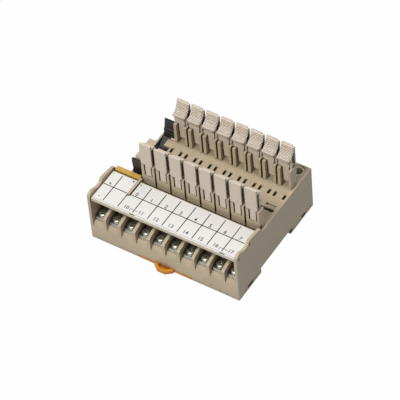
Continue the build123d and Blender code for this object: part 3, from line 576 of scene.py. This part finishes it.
def write(bm, text, x, y):
    """Adds a plain number or sign that lies on the card; x and y are its middle."""
    data = bpy.data.curves.new("digit", "FONT")
    data.body = text
    data.size = DIGIT * MM * SIZE_PER_HEIGHT
    data.align_x = "CENTER"
    data.align_y = "CENTER"
    data.extrude = INK * MM / 2
    data.offset = INK_SPREAD * MM
    data.resolution_u = CURVE_STEPS
    holder = bpy.data.objects.new("digit", data)
    bpy.context.collection.objects.link(holder)
    flat = settled_mesh(holder)
    bpy.data.objects.remove(holder)
    flat.transform(Matrix.Translation(place(x, y, CARD_TOP + INK / 2)))
    bm.from_mesh(flat)


bm = bmesh.new()
for i in range(POSITIONS):
    write(bm, str(i), UPPER_FIRST[0] + UPPER_STEP * i, UPPER_FIRST[1])
    write(bm, str(i + LOWER_START), LOWER_FIRST[0] + RULE_STEP * i, LOWER_FIRST[1])
write(bm, "+", *PLUS)
write(bm, "-", *MINUS)
numbers = keep(bm, "card_numbers", ink_black, "cover")
print("numbers:", len(numbers.data.polygons), "faces")

# %% [markdown]
# The terminal screws of the measured model are plain, and finer ones will take their
# places. Those places could be typed in, but read from the model itself they are always
# right: the points that hang together by edges belong to one screw.

# %% Places of the terminal screws
TIERS = ("lower", "upper")


def solids_of(name):
    """Lowest and highest corner of each separate solid in a measured piece, left to right."""
    bm = bmesh.new()
    bm.from_mesh(frame["nodes"][name].data)
    bmesh.ops.remove_doubles(bm, verts=bm.verts, dist=WELD)
    left = set(bm.verts)
    boxes = []
    while left:
        waiting = [left.pop()]
        found = list(waiting)
        while waiting:
            vert = waiting.pop()
            for edge in vert.link_edges:
                other = edge.other_vert(vert)
                if other in left:
                    left.remove(other)
                    waiting.append(other)
                    found.append(other)
        low = Vector([min(v.co[i] for v in found) for i in range(3)])
        high = Vector([max(v.co[i] for v in found) for i in range(3)])
        boxes.append((low, high))
    bm.free()
    return sorted(boxes, key=lambda box: box[0].x)


SCREW_PLACES = {tier: solids_of(tier + "_screws") for tier in TIERS}
print("screws:", {tier: len(boxes) for tier, boxes in SCREW_PLACES.items()})

# %% [markdown]
# A terminal screw has a low round head with a cross in it. The head is one outline turned
# about its axis, which is how a lathe or a header makes it, and the cross is cut by taking
# two crossed wedges away.

# %% Screw head with a cross
HEAD_R = 3.0
HEAD_H = 2.2
HEAD_OUTLINE = [(0.0, 0.0), (2.8, 0.0), (HEAD_R, 0.18), (HEAD_R, 1.05), (2.88, 1.45), (2.6, 1.78),
                (2.1, 2.02), (1.4, 2.16), (0.0, HEAD_H)]
CROSS_L = 3.7
CROSS_W = 0.85
CROSS_D = 1.3
CROSS_TAPER = (0.5, 0.6, 1.0)               # the bottom of the cross over its top
TURN_STEPS = 32
SEAM = 0.001 * MM                           # points nearer than this close a turned outline


def turned(outline):
    """A bmesh made by turning (radius, height) points about the upright axis."""
    bm = bmesh.new()
    line = [bm.verts.new((r * MM, 0.0, z * MM)) for r, z in outline]
    for a, b in zip(line, line[1:]):
        bm.edges.new((a, b))
    bmesh.ops.spin(bm, geom=bm.verts[:] + bm.edges[:], cent=(0, 0, 0), axis=(0, 0, 1), dvec=(0, 0, 0),
                   angle=2.0 * math.pi, steps=TURN_STEPS, use_merge=True)
    bmesh.ops.remove_doubles(bm, verts=bm.verts, dist=SEAM)
    bmesh.ops.recalc_face_normals(bm, faces=bm.faces)
    return bm


def as_object(bm, name):
    """A working object that is deleted again once it has served."""
    data = bpy.data.meshes.new(name)
    bm.to_mesh(data)
    bm.free()
    piece = bpy.data.objects.new(name, data)
    bpy.context.collection.objects.link(piece)
    return piece


def wedge(turn_by):
    """One bar of the cross, narrower at its bottom."""
    bm = bmesh.new()
    corners = block(bm, (CROSS_L * MM, CROSS_W * MM, 2.0 * CROSS_D * MM))
    bottom = [v for v in corners if v.co.z < 0.0]
    bmesh.ops.scale(bm, vec=CROSS_TAPER, verts=bottom)
    bmesh.ops.translate(bm, vec=(0, 0, HEAD_H * MM), verts=corners)
    bmesh.ops.rotate(bm, cent=(0, 0, 0), matrix=Matrix.Rotation(turn_by, 3, "Z"), verts=corners)
    return as_object(bm, "wedge")


head = as_object(turned(HEAD_OUTLINE), "head")
wedges = [wedge(0.0), wedge(math.pi / 2.0)]
for cutter in wedges:
    cut = head.modifiers.new("cross", "BOOLEAN")
    cut.operation = "DIFFERENCE"
    cut.solver = "EXACT"
    cut.object = cutter
head_mesh = settled_mesh(head)
for helper in [head] + wedges:
    bpy.data.objects.remove(helper)
print("screw head:", len(head_mesh.polygons), "faces")

# %% [markdown]
# Under each head lies a captive spring washer: a flat bar wound into one open turn, its ends
# a little apart in height. A rectangle swept most of the way round with a small rise gives
# exactly that.

# %% Captive spring washer
RING_IN = 1.85
RING_OUT = 2.8
RING_T = 0.55
RING_RISE = 0.14
RING_TURN = math.radians(346.0)
RING_STEPS = 26

bm = bmesh.new()
section = bmesh.ops.create_grid(bm, x_segments=1, y_segments=1, size=0.5)["verts"]
bmesh.ops.scale(bm, vec=((RING_OUT - RING_IN) * MM, RING_T * MM, 1.0), verts=section)
bmesh.ops.rotate(bm, cent=(0, 0, 0), matrix=Matrix.Rotation(math.pi / 2.0, 3, "X"), verts=section)
bmesh.ops.translate(bm, vec=((RING_OUT + RING_IN) / 2.0 * MM, 0, RING_T / 2.0 * MM), verts=section)
bmesh.ops.spin(bm, geom=bm.verts[:] + bm.edges[:] + bm.faces[:], cent=(0, 0, 0), axis=(0, 0, 1),
               dvec=(0, 0, RING_RISE * MM / RING_STEPS), angle=RING_TURN, steps=RING_STEPS)
bmesh.ops.holes_fill(bm, edges=[e for e in bm.edges if e.is_boundary])
bmesh.ops.recalc_face_normals(bm, faces=bm.faces)
ring_mesh = bpy.data.meshes.new("spring_ring")
bm.to_mesh(ring_mesh)
bm.free()
print("spring washer:", len(ring_mesh.polygons), "faces")

# %% [markdown]
# One head and one washer are enough: they are copied to every terminal and turned each
# time, because no fitter leaves all the crosses in line. A plain shank below joins them to
# the plate.

# %% Twenty screws in their places
SHANK_R = 1.7
PLATE_AND_CLAMP = 1.9                       # plate and clamp washer under the spring washer
SPRING_T = 0.7
SCREW_EDGE = 0.06
GOLDEN = 2.399963                           # a turn that never repeats, so no two crosses agree
FIRST_TURN = {"lower": 0, "upper": 5}


def add_copy(bm, mesh, matrix):
    """Adds a mesh to a bmesh under a matrix."""
    copy = mesh.copy()
    copy.transform(matrix)
    bm.from_mesh(copy)
    bpy.data.meshes.remove(copy)


clamp_top = Vector((0, 0, PLATE_AND_CLAMP * MM))
head_seat = Vector((0, 0, (PLATE_AND_CLAMP + SPRING_T) * MM))
for tier, boxes in SCREW_PLACES.items():
    bm = bmesh.new()
    for i, (low, high) in enumerate(boxes):
        foot = Vector(((low.x + high.x) / 2.0, (low.y + high.y) / 2.0, low.z))
        turn_by = Matrix.Rotation(GOLDEN * (i + FIRST_TURN[tier]), 4, "Z")
        add_copy(bm, ring_mesh, Matrix.Translation(foot + clamp_top) @ turn_by)
        add_copy(bm, head_mesh, Matrix.Translation(foot + head_seat) @ turn_by)
        shank = disc(bm, SHANK_R, PLATE_AND_CLAMP + SPRING_T, sides=16)
        bmesh.ops.translate(bm, vec=foot + head_seat / 2.0, verts=shank)
    piece = keep(bm, tier + "_cross_screws", plated_steel, "base")
    soften(piece, SCREW_EDGE)
    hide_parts(tier + "_screws")
    print(piece.name, len(piece.data.polygons), "faces")

# %% [markdown]
# The square clamp washers are pressed with small ridges across their front lip, which bite
# into a wire. They catch the light as short bright bars below each screw head, which a bump
# in the finish would not do. Each is a bar whose rear end dips to the flat of the washer.

# %% Ridges on the clamp washers
RIDGES = 5
RIDGE_STEP = 1.25
RIDGE_SIZE = Vector((0.45, 1.5, 0.22)) * MM
RIDGE_LIFT = 0.02 * MM                      # middle of a ridge above the lip
LIP = 0.6 * MM                              # height of the lip above the flat

for tier in TIERS:
    bm = bmesh.new()
    for low, high in solids_of(tier + "_clamp_washers"):
        middle = (low.x + high.x) / 2.0
        for n in range(RIDGES):
            x = middle + (n - (RIDGES - 1) / 2.0) * RIDGE_STEP * MM
            centre = Vector((x, low.y + RIDGE_SIZE.y / 2.0, high.z + RIDGE_LIFT))
            corners = block(bm, RIDGE_SIZE)
            bmesh.ops.translate(bm, vec=centre, verts=corners)
            rear = [v for v in corners if v.co.y > centre.y]
            bmesh.ops.translate(bm, vec=(0, 0, -LIP), verts=rear)
    piece = keep(bm, tier + "_clamp_ridges", plated_steel, "base")
    print(piece.name, len(piece.data.polygons), "faces")

# %% [markdown]
# The thumb pads of the rear levers are moulded with fine ribs across, so that a finger does
# not slip. The measured pad has the hollow curve and a few coarse steps. The fine ribs are
# bars laid across that curve at even steps, each turned to stand square on it. They are real
# shapes because they show as teeth at the pad's edge.

# %% Fine ribs on the thumb pads
PAD_FRONT = Vector((0.0, 63.9, 55.6))
PAD_BEND = Vector((0.0, 69.5, 56.0))
PAD_REAR = Vector((0.0, 70.0, 63.2))
PAD_RIBS = 11
RIB_START = 0.3                             # the first rib's share of a step from the front edge
RIB_SPAN = PAD_RIBS - 0.2                   # steps along the whole curve
RIB_W = 0.5
RIB_T = 0.8
RIB_LIFT = 0.2
RIB_INSET = 0.1                             # how much shorter a rib is than the pad is wide
RIB_EDGE = 0.08


def pad_place(t):
    """Place and direction on the pad's hollow curve, from its front edge to its top."""
    spot = PAD_FRONT * (1.0 - t) ** 2 + PAD_BEND * 2.0 * t * (1.0 - t) + PAD_REAR * t * t
    along = (PAD_BEND - PAD_FRONT) * (1.0 - t) + (PAD_REAR - PAD_BEND) * t
    return spot, along.normalized()


def round_edges(bm, radius, segments):
    """Bevels every edge of a bmesh by radius millimetres."""
    bmesh.ops.bevel(bm, geom=bm.edges[:], offset=radius * MM, offset_type="OFFSET",
                    segments=segments, profile=0.5, affect="EDGES", material=-1)


REAR_LEVERS = ["rear_lever_%d" % (k + 1) for k in range(POSITIONS)]

for k, lever in enumerate(REAR_LEVERS):
    low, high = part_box(lever)
    bm = bmesh.new()
    for i in range(PAD_RIBS):
        spot, along = pad_place((i + RIB_START) / RIB_SPAN)
        outward = Vector((0.0, -along.z, along.y))
        corners = block(bm, (high.x - low.x - RIB_INSET * MM, RIB_W * MM, RIB_T * MM))
        tilt = math.atan2(along.z, along.y)
        bmesh.ops.rotate(bm, cent=(0, 0, 0), matrix=Matrix.Rotation(tilt, 3, "X"), verts=corners)
        centre = place(0.0, spot.y, spot.z) + outward * RIB_LIFT * MM
        centre.x = (low.x + high.x) / 2.0
        bmesh.ops.translate(bm, vec=centre, verts=corners)
    round_edges(bm, RIB_EDGE, 1)
    ribs = keep(bm, "thumb_ribs_%d" % (k + 1), rib_plastic, lever)
print("thumb ribs:", len(ribs.data.polygons), "faces each")

# %% [markdown]
# Seen from the side, a rear lever is a channel: the broad front panel under the thumb pad, a
# web in its middle and a flange behind. A moulder makes it so because a thick solid bar
# would sink in as it cools. The panel, the web and the flange are boxes with rounded edges
# that overlap the measured arm.

# %% Panel, web and flange of the rear levers
PANEL_Y = (66.45, 67.35)
PANEL_Z = (41.2, 56.0)
FLANGE_Y = (70.0, 71.1)
FLANGE_Z = (48.4, 62.4)
WEB_HALF = 0.7
WEB_TOP = 55.4
WEB_LAP = 0.2                               # how far the web runs into the panel and the flange
SIDE_INSET = 0.02

for k, lever in enumerate(REAR_LEVERS):
    low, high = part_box(lever)
    x0 = low.x / MM + ORIGIN.x + SIDE_INSET
    x1 = high.x / MM + ORIGIN.x - SIDE_INSET
    middle = (x0 + x1) / 2.0
    bm = bmesh.new()
    strip(bm, x0, x1, *PANEL_Y, *PANEL_Z)
    strip(bm, x0, x1, *FLANGE_Y, *FLANGE_Z)
    strip(bm, middle - WEB_HALF, middle + WEB_HALF, PANEL_Y[1] - WEB_LAP, FLANGE_Y[0] + WEB_LAP,
          FLANGE_Z[0], WEB_TOP)
    round_edges(bm, LEVER_EDGE, 2)
    channel = keep(bm, "lever_channel_%d" % (k + 1), lever_plastic, lever)
print("lever channel:", len(channel.data.polygons), "faces each")

# %% [markdown]
# Between two front cages the case is split down to the terminals. The splits, the long gap
# behind the card and the open foot of the last cage are too deep for light to come back
# from, so painted shade is laid in there as thin strips of the plastic's deepest tone. Two
# small dark dots low on the front are thin discs of the same tone.

# %% Painted shade in the splits, behind the card and at the cage foot; two dark dots
CAGE_STEP = 10.16
FIRST_CAGE = 20.4
CAGE_W = 8.9
WALL_FACE = 28.3                            # front face of the cages
DECK_TOP = 32.2
SPLIT_SIDES = (0.1, 1.16)                   # past the right side of the cage before it
SPLIT_FOOT = 29.0
SPLIT_WALL = (WALL_FACE - 0.06, WALL_FACE + 0.02)
SPLIT_DECK = (WALL_FACE + 0.1, 33.5, DECK_TOP - 0.01, DECK_TOP + 0.03)
CARD_GAP = (21.5, 99.6, WALL_FACE - 0.05, WALL_FACE + 0.02, SPLIT_FOOT, 31.3)
CAGE_FOOT = (100.4, 100.46, 28.6, 30.4, 31.6, 35.4)
FRONT_DOTS = ((82.9, 3.2, 0.5), (89.1, 2.8, 0.36))      # x, height and radius
FRONT_DOT_DEPTH = 0.04

# Painted shade: a dark brown material for the strips in the splits and gaps, and for the dots.
deep_brown = plastic("deep_brown", rgb(66, 50, 32), rough=0.7, grain=0.1, shine=0.1)
bm = bmesh.new()
for k in range(POSITIONS - 1):
    x = FIRST_CAGE + CAGE_STEP * k + CAGE_W
    sides = (x + SPLIT_SIDES[0], x + SPLIT_SIDES[1])
    strip(bm, *sides, *SPLIT_WALL, SPLIT_FOOT, DECK_TOP)
    strip(bm, *sides, *SPLIT_DECK)
strip(bm, *CARD_GAP)
strip(bm, *CAGE_FOOT)
for x, z, radius in FRONT_DOTS:
    mark = disc(bm, radius, FRONT_DOT_DEPTH, sides=12)
    bmesh.ops.rotate(bm, cent=(0, 0, 0), matrix=Matrix.Rotation(math.pi / 2.0, 3, "X"), verts=mark)
    bmesh.ops.translate(bm, vec=place(x, 0.0, z), verts=mark)
splits = keep(bm, "deep_splits", deep_brown, "base")
print("deep splits:", len(splits.data.polygons), "faces")

# %% [markdown]
# The panel screw at the rear right goes down a tube whose rim stands just below the deck.
# The rim is turned as one outline: a thin sleeve inside the tube and a flat collar round it.
# It is coloured paler than the case and takes little painted shade, so it holds painted light
# where light falls into the recess.

# %% Rim of the screw recess, in painted light
RECESS = (96.1, 78.9)
RIM_OUTLINE = [(2.6, 27.6), (2.84, 27.6), (2.84, 31.6), (4.05, 31.6), (4.05, 31.75), (3.4, 31.95),
               (2.7, 31.95), (2.6, 31.85), (2.6, 27.6)]

bm = turned(RIM_OUTLINE)
bmesh.ops.translate(bm, vec=place(*RECESS), verts=bm.verts)
rim = keep(bm, "recess_rim", sleeve_plastic, "base")
print("recess rim:", len(rim.data.polygons), "faces")

# %% [markdown]
# The pull tab of the rail latch is a hollow six-sided loop with a thin floor in it, which
# keeps a screwdriver from slipping through. The floor is the loop's outline, raised.

# %% Floor in the pull tab
TAB_HOLE = [(-4.0, -0.3), (-4.0, -1.0), (-1.8, -2.8), (1.8, -2.8), (4.0, -1.0), (4.0, -0.3)]
TAB_FLOOR_Z = 0.25
TAB_FLOOR_T = 0.6

bm = bmesh.new()
bm.faces.new([bm.verts.new(place(ORIGIN.x + x, y, TAB_FLOOR_Z)) for x, y in TAB_HOLE])
raised = bmesh.ops.extrude_face_region(bm, geom=bm.faces[:])["geom"]
top = [v for v in raised if isinstance(v, bmesh.types.BMVert)]
bmesh.ops.translate(bm, vec=(0, 0, TAB_FLOOR_T * MM), verts=top)
bmesh.ops.recalc_face_normals(bm, faces=bm.faces)
tab_floor = keep(bm, "pull_tab_floor", latch_plastic, "latch")
print("pull tab floor:", len(tab_floor.data.polygons), "faces")

# %% [markdown]
# The last lines count the pieces that are shown and their faces.

# %% Count the pieces
bpy.context.view_layer.update()
faces = {piece.name: len(piece.data.polygons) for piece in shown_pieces()}
print("pieces:", len(faces), "with", sum(faces.values()), "faces")
